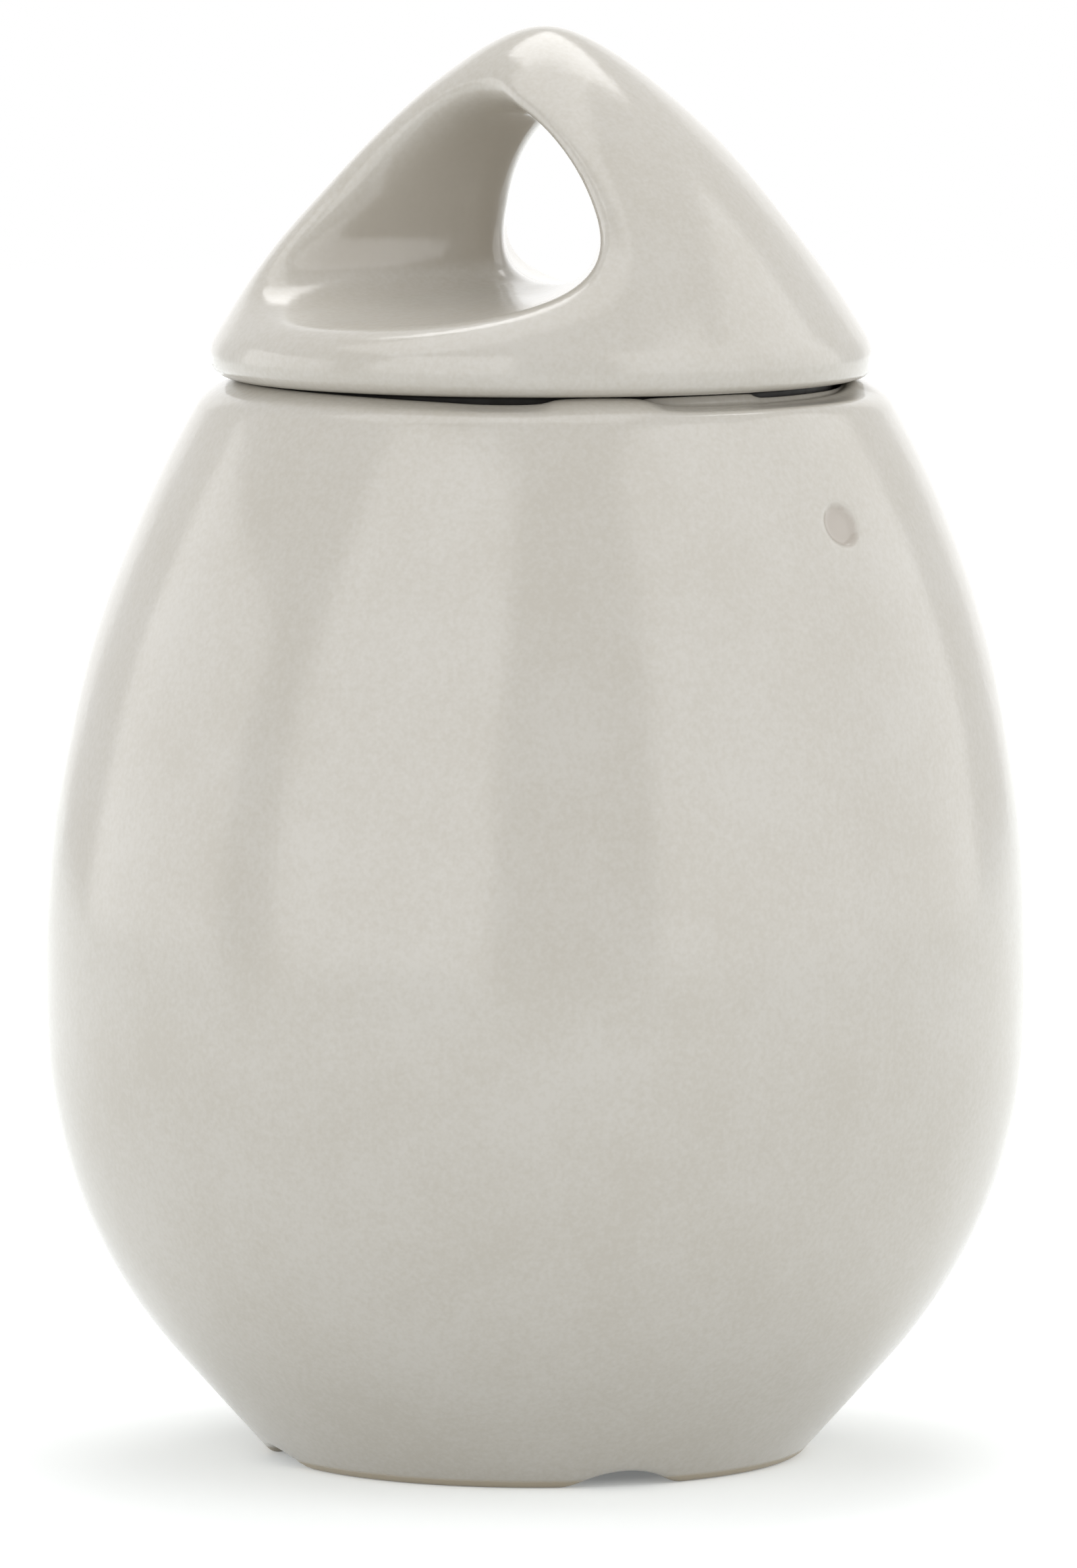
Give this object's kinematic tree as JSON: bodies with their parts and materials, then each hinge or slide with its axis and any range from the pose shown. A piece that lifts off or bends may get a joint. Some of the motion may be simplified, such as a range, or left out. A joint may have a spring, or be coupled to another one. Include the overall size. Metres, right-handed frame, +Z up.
{
  "type": "egg coddler",
  "caption": "Egg-shaped porcelain coddler with a twist-lock lid cast with a pinch handle, over a flat sealing ring.",
  "frame": {"origin": "middle of the face that the foot ring rests on", "axes": "+Z up along the cup's axis; the handle's two posts stand on X, with the round mark at +X; the finger hole runs along Y"},
  "size_m": [0.076, 0.0758, 0.11],
  "materials": {
    "porcelain": "glossy glaze, warm off-white",
    "silicone": "matte"
  },
  "bodies": {
    "cup": {"cup": "porcelain"},
    "sealing_ring": {"sealing_ring": "silicone"},
    "lid": {"lid": "porcelain"}
  },
  "joints": [
    {"name": "lid_lift", "type": "slide", "parent": "cup", "child": "sealing_ring", "axis": [0, 0, 1], "range_m": [0, 0.05]},
    {"name": "lid_turn", "type": "hinge", "parent": "sealing_ring", "child": "lid", "pos_m": [0, 0, 0.083], "axis": [0, 0, -1], "range_deg": [0, 60]}
  ]
}
